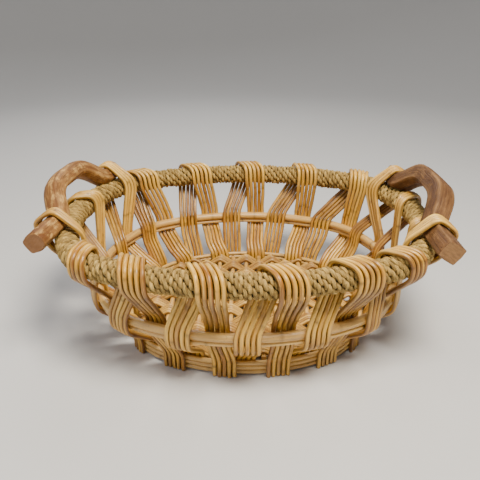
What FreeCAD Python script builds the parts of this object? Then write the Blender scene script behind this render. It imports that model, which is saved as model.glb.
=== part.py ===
"""Winnowing basket: an open oval willow basket with a roped rim and two bent-wood carrying handles.

Units are millimetres. +Z is up and z = 0 is the ground that the rod tips stand on. The origin is under the
middle of the basket, X runs from handle to handle and Y across the basket.
Each wall band is a few willow rods lying side by side. A rod starts under the floor, rises inside the foot
hoop, outside the waist hoop and inside the rope, goes over the rope, and comes down outside the rope, inside
the waist hoop and outside the foot hoop to the ground. Four bands also go over the feet of the handles.
"""
import FreeCAD, Part
import math
import os
from FreeCAD import Vector

# ---- willow rods of the wall ----
rod_d = 4.8
rod_gap = 0.2             # air between two rods of a band
lay_gap = 0.3             # air between two pieces that lie against each other

# ---- roped rim: lengths are along the middle of the rope ----
rim_length = 400.0
rim_width = 336.0
rim_corner = 60.0         # radius of the oval's corners
rim_z = 125.0
rope_d = 26.0
core_d = 11.0             # bent stick inside the rope
core_clear = 0.2

# ---- waist hoop: a thick stick with a thin one under it ----
waist_length = 348.0
waist_width = 320.0
waist_corner = 95.0
waist_z = 64.0
waist_d = 10.0
waist_thin_d = 5.0

# ---- foot hoop: thin sticks on top of each other ----
foot_length = 282.0
foot_width = 266.0
foot_corner = 85.0
foot_stick_d = 5.2
foot_sticks = 3
foot_ground_gap = 1.6     # from the ground to the lowest stick
stick_gap = 0.2           # air between two sticks

# ---- places round the basket, as shares of a hoop's length from +X, turning towards +Y ----
far_side = (0.114, 0.378)         # first and last of the five bands of the far side
near_side = (0.661, 0.836)        # first and last of four of the near side's bands
left_end = 0.472
near_left_corner = 0.612
near_right_corner = 0.880
right_end = (0.960, 1.026)
handle_mid = {"left": 0.4835, "right": 0.998}
lash_reach = 0.0745               # from a handle's middle to each of its lashings
inner_leg_back = 0.018            # a band's inner leg passes the waist hoop this far back from the rope
outer_leg_on = 0.021              # and its outer leg this far on
leg_side_gap = 1.9                # least air between a leg and the next one where they pass each other

# ---- how a rod bends ----
rods_side = 5             # rods in a band of the long sides
rods_corner = 4           # rods in a band of the corners and in most lashings
rods_end = 3              # rods in a band of the right end and in the near left lashing
over_slant = 8.0          # a rod goes over the rope this far aslant each way
inner_drift = 4.0         # an inner leg goes this far back along the foot hoop
outer_drift = 2.0         # an outer leg goes this far on along it
foot_spread = 1.04        # a band's rods stand this much wider at the foot hoop
tuck = 14.0               # length of rod turned in under the floor
tuck_gap = 0.2            # from the ground to the turned-in rod
waist_bend_r = 18.0
knee_r = 10.0
tuck_r = 5.0
rope_bend_less = 1.2      # how much tighter a rod bends than a circle round the rope's middle
lash_bend_r = 5.0
lash_slack = 2.0          # a lashing comes back to the outside of the rope this far off it
lash_inner_slack = 1.2    # and starts over the handle this far off the rope's inside
over_room = 1.04          # a band's rods stand this much wider over the rope, for its bends
knee_share = 0.45         # height of the inner leg's knee between the foot hoop and the waist hoop
waist_stretch = 7.0       # upright stretch of a rod above the middle of the waist hoop
thin_stretch = 4.5        # upright stretch below the thin waist stick's middle
upper_pass = 0.3          # a band's legs pass each other at this share of the way from waist to rope
rope_fan_share = 1.15     # a band is this much wider there, as its rods spread towards the rope
foot_stretch = 2.0        # upright stretch above the foot hoop
meet_share = 0.15         # a rod meets the rope's inside this share of the way down its side,
leave_share = 0.5         # leaves its outside at least this share of the way down,
strap_share = 0.7         # and a lashing leaves the inside this share of the way up
knee_room = 0.6           # more air between the legs at the knee
bend_share = 0.49         # a bend takes up at most this share of the run beside it

# ---- handles: a bent bar with a foot at each end ----
bar_width = 22.0
bar_thick = 20.0
bar_edge_r = 5.0
bar_lean = 55.0           # the arch leans this many degrees up from level
bar_rise = 31.0           # from the feet to the top of the arch, along the lean
bar_top_share = 0.46      # straight top of the arch, as a share of the distance between the lashings
bar_foot_r = 20.0
bar_top_r = 52.0
bar_level = 17.0          # level foot between a lashing and the rise of the arch
bar_stub_near = 47.0      # foot that stands out past the near lashing
bar_stub_far = 27.0       # and past the far one
bar_seat = 2.5            # depth of the seat that the rope presses into a foot
bar_strap_gap = 1.2       # between a lashing and the bar's sharp corner

# ---- floor: stiff spokes across, rods woven over and under them in bands ----
spoke_d = 6.0
spoke_pitch = 18.5
spokes_each_side = 6
weaver_d = 4.8
weaver_gap = 0.2          # air between two weavers of a band
weavers_in_band = 4
weaver_bands = 12
weave_gap = 0.1
floor_edge_gap = 1.2      # from the floor's edge to the wall's rods
weaver_end_share = 0.85   # a weaver ends at most this far on towards the next spoke

rod_r = rod_d / 2
rod_pitch = rod_d + rod_gap
weaver_pitch = weaver_d + weaver_gap
beside_rope = rope_d / 2 + lay_gap + rod_r          # middle of the rope to the middle of a rod on it
rope_bend_r = beside_rope - rope_bend_less
beside_waist = waist_d / 2 + lay_gap + rod_r
beside_foot = foot_stick_d / 2 + lay_gap + rod_r
tuck_z = rod_r + tuck_gap
foot_pitch = foot_stick_d + stick_gap
foot_low_z = foot_ground_gap + foot_stick_d / 2
foot_high = foot_low_z + (foot_sticks - 1) * foot_pitch + foot_stick_d / 2 + foot_stretch
thin_z = waist_z - waist_d / 2 - lay_gap - waist_thin_d / 2
waist_high = waist_z + waist_stretch
waist_low = thin_z - thin_stretch
rope_inner_low = rim_z - meet_share * beside_rope
rope_outer_low = rim_z - leave_share * beside_rope
strap_start_z = rim_z + strap_share * beside_rope
up = Vector(0, 0, 1)


class Ring:
    """A level oval of eight tangent arcs: two ends, two sides and four corners between them."""

    def __init__(self, half_length, half_width, corner, z):
        self.size = (half_length, half_width, corner, z)
        self.z = z
        cos_a, sin_a = math.cos(math.pi / 6), 0.5
        long_left, wide_left = half_length - corner, half_width - corner
        # the corner's centre is on the end arc's radius and on the side arc's radius
        end_more = (sin_a * wide_left - (1 - cos_a) * long_left) / (sin_a ** 2 - (1 - cos_a) ** 2)
        side_more = (long_left - (1 - cos_a) * end_more) / sin_a
        end_r, side_r = corner + end_more, corner + side_more
        cx, cy = side_more * sin_a, end_more * sin_a
        ex, sy = half_length - end_r, half_width - side_r
        self.arcs = []
        for start, sweep, r, x, y in (
                (-30, 60, end_r, ex, 0), (30, 30, corner, cx, cy), (60, 60, side_r, 0, sy),
                (120, 30, corner, -cx, cy), (150, 60, end_r, -ex, 0), (210, 30, corner, -cx, -cy),
                (240, 60, side_r, 0, -sy), (300, 30, corner, cx, -cy)):
            self.arcs.append((math.radians(start), math.radians(sweep), r, Vector(x, y, 0)))
        self.length = sum(r * sweep for _, sweep, r, _ in self.arcs)
        self.half_first = self.arcs[0][1] * self.arcs[0][2] / 2

    def grown(self, by):
        half_length, half_width, corner, z = self.size
        return Ring(half_length + by, half_width + by, corner + by, z)

    def towards(self, other, share):
        return Ring(*[a + (b - a) * share for a, b in zip(self.size, other.size)])

    def angle(self, station):
        """Direction of the outward normal at a length along the oval from +X."""
        left = (station + self.half_first) % self.length
        for start, sweep, r, _ in self.arcs:
            if left <= r * sweep:
                return start + left / r
            left -= r * sweep
        return self.arcs[0][0]

    def station(self, angle):
        """Length along the oval from +X to where its outward normal has this direction."""
        start_angle = self.arcs[0][0]
        turned = (angle - start_angle) % (2 * math.pi)
        length = -self.half_first
        for start, sweep, r, _ in self.arcs:
            part = min(max(turned - (start - start_angle), 0), sweep)
            length += part * r
        return length

    def at(self, angle, z):
        turned = (angle - self.arcs[0][0]) % (2 * math.pi)
        for start, sweep, r, centre in self.arcs:
            if turned <= start - self.arcs[0][0] + sweep:
                return Vector(centre.x + r * math.cos(angle), centre.y + r * math.sin(angle), z)
        return Vector(self.size[0], 0, z)

    def half_chord(self, y):
        """Half of the oval's width along X at this y."""
        low, high = 0.0, math.pi / 2
        for _ in range(40):
            mid = (low + high) / 2
            if self.at(mid, 0).y < abs(y):
                low = mid
            else:
                high = mid
        return self.at(low, 0).x

    def half_depth(self, x):
        """Half of the oval's width along Y at this x."""
        low, high = 0.0, math.pi / 2
        for _ in range(40):
            mid = (low + high) / 2
            if self.at(mid, 0).x > abs(x):
                low = mid
            else:
                high = mid
        return self.at(low, 0).y

    def wire(self):
        edges = []
        for start, sweep, r, c in self.arcs:
            ends = [self.z_point(c, r, start + sweep * share) for share in (0, 0.5, 1)]
            edges.append(Part.Arc(*ends).toShape())
        return Part.Wire(edges)

    def z_point(self, centre, r, angle):
        return Vector(centre.x + r * math.cos(angle), centre.y + r * math.sin(angle), self.z)


rim = Ring(rim_length / 2, rim_width / 2, rim_corner, rim_z)
waist = Ring(waist_length / 2, waist_width / 2, waist_corner, waist_z)
foot = Ring(foot_length / 2, foot_width / 2, foot_corner, foot_low_z)
knee = foot.towards(waist, knee_share)


def unit(v):
    return v * (1.0 / v.Length)


def rounded(points, radii):
    """A wire of straight runs, with a tangent arc of its own radius at each inner point."""
    edges = []
    start = points[0]
    for i in range(1, len(points) - 1):
        back, ahead = points[i - 1] - points[i], points[i + 1] - points[i]
        a, b = unit(back), unit(ahead)
        half = math.acos(max(-1.0, min(1.0, a.dot(b)))) / 2
        if half > math.pi / 2 - 0.001:
            continue
        reach = min(radii[i] / math.tan(half), bend_share * back.Length, bend_share * ahead.Length)
        r = reach * math.tan(half)
        middle = unit(a + b)
        top = points[i] + middle * (r / math.sin(half) - r)
        edges.append(Part.LineSegment(start, points[i] + a * reach).toShape())
        edges.append(Part.Arc(points[i] + a * reach, top, points[i] + b * reach).toShape())
        start = points[i] + b * reach
    edges.append(Part.LineSegment(start, points[-1]).toShape())
    return Part.Wire(edges)


def swept(path, profile):
    solid = path.makePipeShell([profile], True, False)
    if solid.Volume < 0:
        solid.reverse()
    return solid


def round_rod(path, d):
    edge = path.Edges[0]
    start = edge.valueAt(edge.FirstParameter)
    along = edge.tangentAt(edge.FirstParameter)
    return swept(path, Part.Wire([Part.makeCircle(d / 2, start, along)]))


def hoop(ring, d):
    return round_rod(ring.wire(), d)


# ---- bands of rods ----
def spread(first, last, count):
    return [first + (last - first) * i / (count - 1) for i in range(count)]


def place(ring, out, share, along, z):
    """A point off a hoop: out from it by a distance, at a share of its length, then along it."""
    angle = ring.angle(share * ring.length)
    shifted = ring.grown(out)
    return shifted.at(shifted.angle(shifted.station(angle) + along), z)


def inner_leg(w, fan, share):
    """From the tuck under the floor up to above the waist hoop."""
    heel = place(foot, -beside_foot, share, w * foot_spread - inner_drift, tuck_z)
    angle = foot.angle(share * foot.length)
    inwards = Vector(-math.cos(angle), -math.sin(angle), 0)
    return [heel + inwards * tuck,
            heel,
            place(foot, -beside_foot, share, w * foot_spread - inner_drift, foot_high),
            place(knee, -rod_d - lay_gap - knee_room, share, w * fan, knee.z),
            place(waist, beside_waist, share, w * fan, waist_low),
            place(waist, beside_waist, share, w * fan, waist_high)]


def outer_leg(w, fan, share):
    """From above the waist hoop down to the ground."""
    return [place(waist, -beside_waist, share, w * fan, waist_high),
            place(waist, -beside_waist, share, w * fan, waist_low),
            place(foot, beside_foot, share, w * foot_spread + outer_drift, foot_high),
            place(foot, beside_foot, share, w * foot_spread + outer_drift, 0)]


def inner_rope_point(w, share, z):
    return place(rim, -beside_rope, share, w, z)


def beside_z(share, leg, side, down_share):
    """Height of a leg's end beside the rope, low enough for its run from the waist hoop to clear the rope."""
    end = place(rim, side * beside_rope, share, 0, rim_z - down_share * beside_rope)
    run = unit(end - place(waist, -side * beside_waist, leg, 0, waist_high))
    angle = rim.angle(share * rim.length)
    under = side * run.dot(Vector(math.cos(angle), math.sin(angle), 0))
    if under > 0:
        down_share = max(down_share, (math.hypot(run.z, under) - run.z) / under)
    return rim_z - down_share * beside_rope


def over_rope(w, fans, share, legs):
    over_fan = over_room * math.hypot(over_slant, beside_rope) / beside_rope
    before = w * max(fans[0], over_fan) - over_slant
    after = w * max(fans[1], over_fan) + over_slant
    top = rim_z + beside_rope
    return [inner_rope_point(before, share, beside_z(share, legs[0], -1, meet_share)),
            inner_rope_point(before, share, top),
            place(rim, beside_rope, share, after, top),
            place(rim, beside_rope, share, after, beside_z(share, legs[1], 1, leave_share))]


def fan_of(top, share, out):
    """How much wider a slanted leg's rods stand along the hoop, so that they stay a pitch apart."""
    foot_of_run = place(waist, out, share, 0, waist_high)
    angle = waist.angle(share * waist.length)
    run = unit(top - foot_of_run)
    aslant = run.dot(Vector(-math.sin(angle), math.cos(angle), 0))
    return 1 / math.sqrt(1 - aslant ** 2)


class Handle:
    """Where a handle sits: its feet lie on the rope's outer shoulder at its two lashings."""

    def __init__(self, side):
        middle = handle_mid[side]
        self.shares = (middle - lash_reach, middle + lash_reach)
        a, b = [rim.at(rim.angle(s * rim.length), rim_z) for s in self.shares]
        self.half_span = (b - a).Length / 2
        # a handle runs from its first lashing to its second; the left one's second end is the near one
        self.stubs = (bar_stub_far, bar_stub_near) if side == "left" else (bar_stub_near, bar_stub_far)
        self.along = unit(b - a)
        out = self.along.cross(up)
        lean = math.radians(bar_lean)
        self.rise = out * math.cos(lean) + up * math.sin(lean)
        self.across = out * math.sin(lean) - up * math.cos(lean)
        lift = rope_d / 2 + lay_gap + bar_thick / 2 - bar_seat
        self.centre = (a + b) * 0.5 + self.rise * lift
        self.out = out
        # the rope runs at an angle to the bar at a lashing
        self.turn = 1 / abs(Vector(math.cos(rim.angle(self.shares[1] * rim.length)),
                                   math.sin(rim.angle(self.shares[1] * rim.length)), 0).dot(out))

    def point(self, along, rise, across=0.0):
        return self.centre + self.along * along + self.rise * rise + self.across * across

    def strap(self, end, w):
        """Three corners of a rod that goes over this end's foot, from the inside to the outside."""
        y = end * self.half_span + w
        high = bar_thick / 2 + rod_r + bar_strap_gap
        wide = bar_width / 2 + rod_r + bar_strap_gap
        return [self.point(y, high, lash_slack - wide),
                self.point(y, high, wide),
                self.point(y, -bar_thick / 2, wide + lash_slack)]

    def rope_point(self, end, w, side, z):
        """Beside the rope, on its outside or inside, level with a place on the bar."""
        station = self.shares[0 if end < 0 else 1] * rim.length + w * self.turn
        return rim.at(rim.angle(station), z) + self.out * (side * self.turn)

    def bar(self):
        lash, top = self.half_span, self.half_span * bar_top_share
        start = self.point(-lash - self.stubs[0], 0)
        path = rounded([start, self.point(-lash + bar_level, 0),
                        self.point(-top, bar_rise), self.point(top, bar_rise),
                        self.point(lash - bar_level, 0), self.point(lash + self.stubs[1], 0)],
                       [0, bar_foot_r, bar_top_r, bar_top_r, bar_foot_r, 0])
        return swept(path, rounded_rectangle(start, self.across, self.rise, bar_width, bar_thick, bar_edge_r))


def rounded_rectangle(centre, u, v, width, height, r):
    """A closed wire of four sides and four quarter arcs, in the plane of u and v."""
    edges, ends = [], []
    for su, sv in ((1, 1), (-1, 1), (-1, -1), (1, -1)):
        corner = centre + u * (su * (width / 2 - r)) + v * (sv * (height / 2 - r))
        first, last = (u * su, v * sv) if su * sv > 0 else (v * sv, u * su)
        ends.append((corner + first * r, corner + last * r))
        middle = corner + unit(first + last) * r
        edges.append(Part.Arc(corner + first * r, middle, corner + last * r).toShape())
    wire = []
    for i in range(4):
        wire += [edges[i], Part.LineSegment(ends[i][1], ends[(i + 1) % 4][0]).toShape()]
    return Part.Wire(wire)


leg_radii = [0, tuck_r, knee_r, knee_r, knee_r, waist_bend_r]
down_radii = [waist_bend_r, waist_bend_r, knee_r, 0]


class Band:
    """Rods side by side: where they cross the rope, and where their two legs pass the waist hoop."""

    def __init__(self, name, rim_share, count, handle=None, end=0):
        self.name, self.rim_share, self.count = name, rim_share, count
        self.handle, self.end = handle, end
        self.legs = [rim_share - inner_leg_back, rim_share + outer_leg_on]
        self.fans = [1.0, 1.0]

    def set_fans(self):
        tops = (inner_rope_point(-over_slant, self.rim_share, rope_inner_low),
                place(rim, beside_rope, self.rim_share, over_slant, rope_outer_low))
        if self.handle:
            tops = (self.handle.rope_point(self.end, 0, -beside_rope, rope_inner_low),
                    self.handle.rope_point(self.end, 0, beside_rope, rope_outer_low))
        self.fans = [fan_of(top, leg, out)
                     for top, leg, out in zip(tops, self.legs, (beside_waist, -beside_waist))]

    def width(self, leg):
        return (self.count - 1) * rod_pitch * self.fans[leg] + rod_d

    def rod(self, w):
        if self.handle:
            at_rope = self.handle.rope_point
            inside = -beside_rope - lash_inner_slack
            meet_z = beside_z(self.rim_share, self.legs[0], -1, meet_share)
            leave_z = beside_z(self.rim_share, self.legs[1], 1, leave_share)
            middle = [at_rope(self.end, w * self.fans[0], inside, meet_z),
                      at_rope(self.end, w, inside, strap_start_z)]
            middle += self.handle.strap(self.end, w)
            middle += [at_rope(self.end, w * self.fans[1], beside_rope + lash_slack, leave_z)]
            radii = [rope_bend_r] * 2 + [lash_bend_r] * 3 + [rope_bend_r]
        else:
            middle = over_rope(w, self.fans, self.rim_share, self.legs)
            radii = [rope_bend_r] * 4
        points = inner_leg(w, self.fans[0], self.legs[0]) + middle + outer_leg(w, self.fans[1], self.legs[1])
        return round_rod(rounded(points, leg_radii + radii + down_radii), rod_d)

    def rods(self):
        return [self.rod((i - (self.count - 1) / 2) * rod_pitch) for i in range(self.count)]


def room(band, leg, other, other_leg):
    """Least share of the hoop between two legs that are next to each other, where they pass."""
    width = (band.width(leg) + other.width(other_leg)) / 2 + leg_side_gap
    need = width / knee.length
    if band is other:
        # a band's own legs also pass each other above the waist hoop, where the slant over the rope helps
        passing = waist.towards(rim, upper_pass).length * (1 - upper_pass)
        slant = 0 if band.handle else over_slant
        need = max(need, (width * rope_fan_share - 2 * slant * upper_pass) / passing)
    return need


def ease_apart(plan):
    """Move the legs along the waist hoop, as little as they need, until each has room where they pass."""
    legs = [(band, leg) for band in plan for leg in (0, 1)]
    for _ in range(300):
        for i, (band, leg) in enumerate(legs):
            other, other_leg = legs[(i + 1) % len(legs)]
            apart = (other.legs[other_leg] - band.legs[leg] + 0.5) % 1 - 0.5
            need = room(band, leg, other, other_leg)
            if need > apart:
                band.legs[leg] -= (need - apart) / 2
                other.legs[other_leg] += (need - apart) / 2
        for band in plan:
            band.set_fans()


def bands(handles):
    """Every band in order round the basket."""
    left, right = handles["left"], handles["right"]
    plan = [Band(f"wall_band_far_{i + 1}", share, rods_side) for i, share in enumerate(spread(*far_side, 5))]
    plan += [Band("lashing_far_left", left.shares[0], rods_corner, left, -1),
             Band("wall_band_left", left_end, rods_corner),
             Band("lashing_near_left", left.shares[1], rods_end, left, 1),
             Band("wall_band_near_1", near_left_corner, rods_corner)]
    plan += [Band(f"wall_band_near_{i + 2}", share, rods_side)
             for i, share in enumerate(spread(*near_side, 4))]
    plan += [Band("wall_band_near_6", near_right_corner, rods_corner),
             Band("lashing_near_right", right.shares[0], rods_corner, right, -1),
             Band("wall_band_right_2", right_end[0], rods_end),
             Band("wall_band_right_1", right_end[1], rods_end),
             Band("lashing_far_right", right.shares[1], rods_corner, right, 1)]
    ease_apart(plan)
    return plan


# ---- floor ----
floor_z = tuck_z + rod_r + weave_gap + spoke_d / 2 + weave_gap + weaver_d
floor_edge = foot.grown(-beside_foot - rod_r - floor_edge_gap)


def spokes():
    made = []
    for i in range(-spokes_each_side, spokes_each_side + 1):
        x = i * spoke_pitch
        half = floor_edge.half_depth(abs(x) + spoke_d / 2)
        made.append(Part.makeCylinder(spoke_d / 2, 2 * half, Vector(x, -half, floor_z), Vector(0, 1, 0)))
    return made


def weaver(y, side):
    """One floor rod at this y, over every second spoke; side is +1 or -1 over the middle spoke."""
    reach = floor_edge.half_chord(abs(y) + weaver_d / 2)
    hug = spoke_d / 2 + weave_gap + weaver_d / 2
    slope = math.asin(2 * hug / spoke_pitch)
    peak = hug / math.cos(slope)
    points = []
    last = min(spokes_each_side, int((reach - spoke_d) / spoke_pitch))
    for i in range(-last, last + 1):
        points.append(Vector(i * spoke_pitch, y, floor_z + side * peak * (-1) ** i))
    run = min((reach - last * spoke_pitch) / spoke_pitch, weaver_end_share)
    end_z = floor_z + side * peak * (-1) ** last * (1 - 2 * run)
    for sign in (-1, 1):
        points.insert(0 if sign < 0 else len(points), Vector(sign * (last + run) * spoke_pitch, y, end_z))
    return round_rod(rounded(points, [hug] * len(points)), weaver_d)


def weaver_band(index):
    first = -(weaver_bands * weavers_in_band - 1) / 2 * weaver_pitch
    side = 1 if index % 2 else -1
    return [weaver(first + (index * weavers_in_band + i) * weaver_pitch, side)
            for i in range(weavers_in_band)]


def save(name, solids):
    for solid in solids:
        if not solid.isValid() or solid.Volume <= 0:
            print("BAD", name, solid.Volume)
    shape = solids[0] if len(solids) == 1 else Part.makeCompound(solids)
    shape.exportStep(f"parts/{name}.step")


def build():
    os.makedirs("parts", exist_ok=True)
    save("rim_core_hoop", [hoop(rim, core_d)])
    save("rim_rope", [hoop(rim, rope_d).cut(hoop(rim, core_d + 2 * core_clear))])
    save("waist_hoop", [hoop(waist, waist_d)])
    save("waist_hoop_thin", [hoop(Ring(*waist.size[:3], thin_z), waist_thin_d)])
    save("foot_hoop", [hoop(Ring(*foot.size[:3], foot_low_z + i * foot_pitch), foot_stick_d)
                       for i in range(foot_sticks)])
    seat = hoop(rim, rope_d + 2 * lay_gap)
    handles = {side: Handle(side) for side in handle_mid}
    for side, handle in handles.items():
        save(f"handle_{side}", [handle.bar().cut(seat)])
    for band in bands(handles):
        save(band.name, band.rods())
    save("floor_spokes", spokes())
    for i in range(weaver_bands):
        save(f"floor_weavers_{i + 1:02d}", weaver_band(i))


build()
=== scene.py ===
import math
import random
import bpy
import numpy as np
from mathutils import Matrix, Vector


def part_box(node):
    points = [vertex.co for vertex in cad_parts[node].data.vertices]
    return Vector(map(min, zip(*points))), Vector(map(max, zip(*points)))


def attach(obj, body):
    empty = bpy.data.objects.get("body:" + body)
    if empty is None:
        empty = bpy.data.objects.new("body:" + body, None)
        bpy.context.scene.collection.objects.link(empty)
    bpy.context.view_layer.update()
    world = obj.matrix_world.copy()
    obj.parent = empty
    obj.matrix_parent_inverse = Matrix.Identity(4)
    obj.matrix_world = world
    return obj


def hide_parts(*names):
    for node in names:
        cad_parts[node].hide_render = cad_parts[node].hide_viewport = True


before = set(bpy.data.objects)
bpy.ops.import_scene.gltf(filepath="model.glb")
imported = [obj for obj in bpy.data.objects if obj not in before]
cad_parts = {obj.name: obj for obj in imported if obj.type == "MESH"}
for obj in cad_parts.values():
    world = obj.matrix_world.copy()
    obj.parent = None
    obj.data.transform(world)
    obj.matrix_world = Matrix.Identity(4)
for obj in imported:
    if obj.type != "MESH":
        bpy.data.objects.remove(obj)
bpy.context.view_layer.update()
mm = 0.001
upward = np.array((0.0, 0.0, 1.0))
fullTurn = 2 * math.pi
anyPhase = 6.3      # a random phase is drawn from 0 to this many radians
halvings = 40      # steps in which a width is closed in on


def unit(vector):
    return vector / np.linalg.norm(vector)


# a hoop is a level oval of eight tangent arcs
class Oval:
    def __init__(self, halfLength, halfWidth, corner, z):
        self.size = np.array((halfLength, halfWidth, corner, z))
        self.z = z
        cosTurn, sinTurn = math.cos(math.pi / 6), 0.5
        longLeft, wideLeft = halfLength - corner, halfWidth - corner
        endMore = (sinTurn * wideLeft - (1 - cosTurn) * longLeft) / (sinTurn ** 2 - (1 - cosTurn) ** 2)
        sideMore = (longLeft - (1 - cosTurn) * endMore) / sinTurn
        cx, cy = sideMore * sinTurn, endMore * sinTurn
        endX, sideY = halfLength - corner - endMore, halfWidth - corner - sideMore
        self.arcs = []
        for start, sweep, radius, x, y in (
                (-30, 60, corner + endMore, endX, 0), (30, 30, corner, cx, cy),
                (60, 60, corner + sideMore, 0, sideY), (120, 30, corner, -cx, cy),
                (150, 60, corner + endMore, -endX, 0), (210, 30, corner, -cx, -cy),
                (240, 60, corner + sideMore, 0, -sideY), (300, 30, corner, cx, -cy)):
            self.arcs.append((math.radians(start), math.radians(sweep), radius, (x, y)))
        self.length = sum(sweep * radius for _, sweep, radius, _ in self.arcs)

    def grown(self, by):
        return Oval(*(self.size + (by, by, by, 0)))

    def towards(self, other, share):
        return Oval(*(self.size + (other.size - self.size) * share))

    def angleAt(self, station):      # way the hoop faces, at a length along it from +X
        left = (station + self.arcs[0][1] * self.arcs[0][2] / 2) % self.length
        for start, sweep, radius, _ in self.arcs:
            if left <= radius * sweep:
                return start + left / radius
            left -= radius * sweep
        return self.arcs[0][0]

    def stationAt(self, angle):
        turned = (angle - self.arcs[0][0]) % (2 * math.pi)
        station = -self.arcs[0][1] * self.arcs[0][2] / 2
        for start, sweep, radius, _ in self.arcs:
            station += radius * min(max(turned - (start - self.arcs[0][0]), 0), sweep)
        return station

    def at(self, angle, z=None):
        turned = (angle - self.arcs[0][0]) % (2 * math.pi)
        for start, sweep, radius, centre in self.arcs:
            if turned <= start - self.arcs[0][0] + sweep:
                break
        return np.array((centre[0] + radius * math.cos(angle), centre[1] + radius * math.sin(angle),
                         self.z if z is None else z))


def outwardAt(angle):
    return np.array((math.cos(angle), math.sin(angle), 0.0))


def halfAcross(oval, offset, axis):      # half its width along X (axis 0) or Y (axis 1), this far off centre
    low, high = 0.0, math.pi / 2
    for _ in range(halvings):
        middle = (low + high) / 2
        point = oval.at(middle)
        inside = point[1] < abs(offset) if axis == 0 else point[0] > abs(offset)
        low, high = (middle, high) if inside else (low, middle)
    return oval.at(low)[axis]


rimLow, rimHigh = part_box("rim_rope")
waistLow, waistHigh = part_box("waist_hoop")
thinLow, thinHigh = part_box("waist_hoop_thin")
footLow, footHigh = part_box("foot_hoop")
ropeR = (rimHigh.z - rimLow.z) / 2
waistR = (waistHigh.z - waistLow.z) / 2
thinR = (thinHigh.z - thinLow.z) / 2
stickR = 2.6 * mm
corners = {"rim": 60 * mm, "waist": 95 * mm, "foot": 85 * mm}
rim = Oval(rimHigh.x - ropeR, rimHigh.y - ropeR, corners["rim"], rimLow.z + ropeR)
waist = Oval(waistHigh.x - waistR, waistHigh.y - waistR, corners["waist"], waistLow.z + waistR)
foot = Oval(footHigh.x - stickR, footHigh.y - stickR, corners["foot"], footLow.z + stickR)


sweeping = {"step": 2.2 * mm, "runShare": 0.49, "leastTurn": 0.001, "bevel": 0.35 * mm, "endSize": 0.84,
            "grooveFrom": 0.7, "betweenShade": 0.9}      # where the painted shade between neighbouring rods starts, and how dark that painted shade is
wanderWaves = (0.045, 0.08, 0.15)      # lengths of the slow bends in a rod
waveSpread = (0.8, 1.25)


def roundedPath(points, radii):      # straight runs joined by tangent arcs, as points
    path, step = [], sweeping["step"]
    start = points[0]
    for i in range(1, len(points) - 1):
        back, ahead = points[i - 1] - points[i], points[i + 1] - points[i]
        a, b = unit(back), unit(ahead)
        half = math.acos(max(-1.0, min(1.0, float(a @ b)))) / 2
        if half > math.pi / 2 - sweeping["leastTurn"]:
            continue
        reach = min(radii[i] / math.tan(half), sweeping["runShare"] * np.linalg.norm(back),
                    sweeping["runShare"] * np.linalg.norm(ahead))
        radius = reach * math.tan(half)
        centre = points[i] + unit(a + b) * (radius / math.sin(half))
        enter, leave = points[i] + a * reach, points[i] + b * reach
        path += straight(start, enter, step)
        sweep = math.pi - 2 * half
        count = max(3, int(radius * sweep / step))
        along = unit(enter - centre)
        turn = unit(leave - centre - along * float((leave - centre) @ along))
        path += [centre + radius * (along * math.cos(sweep * k / count) + turn * math.sin(sweep * k / count))
                 for k in range(count)]
        start = leave
    path += straight(start, points[-1], step)
    return np.array(path + [points[-1]])


def straight(start, end, step):
    count = max(1, int(np.linalg.norm(end - start) / step))
    return [start + (end - start) * k / count for k in range(count)]


def lengths(path):
    return np.concatenate(([0.0], np.cumsum(np.linalg.norm(np.diff(path, axis=0), axis=1))))


def evenly(path, step):
    along = lengths(path)
    places = np.linspace(0, along[-1], max(4, int(along[-1] / step)))
    return np.stack([np.interp(places, along, path[:, k]) for k in range(3)], axis=1)


def eased(path, passes):      # softens where a run meets an arc; the ends stay
    path = path.copy()
    for _ in range(passes):
        path[1:-1] = path[1:-1] * 0.5 + (path[:-2] + path[2:]) * 0.25
    return path


def waver(along, amount, seed):      # slow random wander along a rod
    draw = random.Random(seed)
    total = np.zeros(len(along))
    for wave in wanderWaves:
        wavelength = wave * draw.uniform(*waveSpread)
        total += math.sqrt(wave / wanderWaves[-1]) * np.sin(along * fullTurn / wavelength
                                                            + draw.uniform(0, fullTurn))
    return total * amount / len(wanderWaves)


def frames(path, closed):      # a turning pair of directions across the path
    ahead = np.roll(path, -1, axis=0) - np.roll(path, 1, axis=0)
    if not closed:
        ahead[0], ahead[-1] = path[1] - path[0], path[-1] - path[-2]
    ahead /= np.linalg.norm(ahead, axis=1)[:, None]
    side = np.zeros_like(path)
    guess = upward if abs(ahead[0][2]) < 0.9 else np.array((1.0, 0.0, 0.0))
    side[0] = unit(guess - ahead[0] * (guess @ ahead[0]))
    for i in range(1, len(path)):
        side[i] = unit(side[i - 1] - ahead[i] * (side[i - 1] @ ahead[i]))
    if closed:
        last = unit(side[-1] - ahead[0] * (side[-1] @ ahead[0]))
        miss = math.atan2(np.cross(side[0], last) @ ahead[0], side[0] @ last)
        turn = -miss * np.arange(len(path)) / len(path)
        side = side * np.cos(turn)[:, None] + np.cross(ahead, side) * np.sin(turn)[:, None]
    return ahead, side, np.cross(ahead, side)


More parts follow.
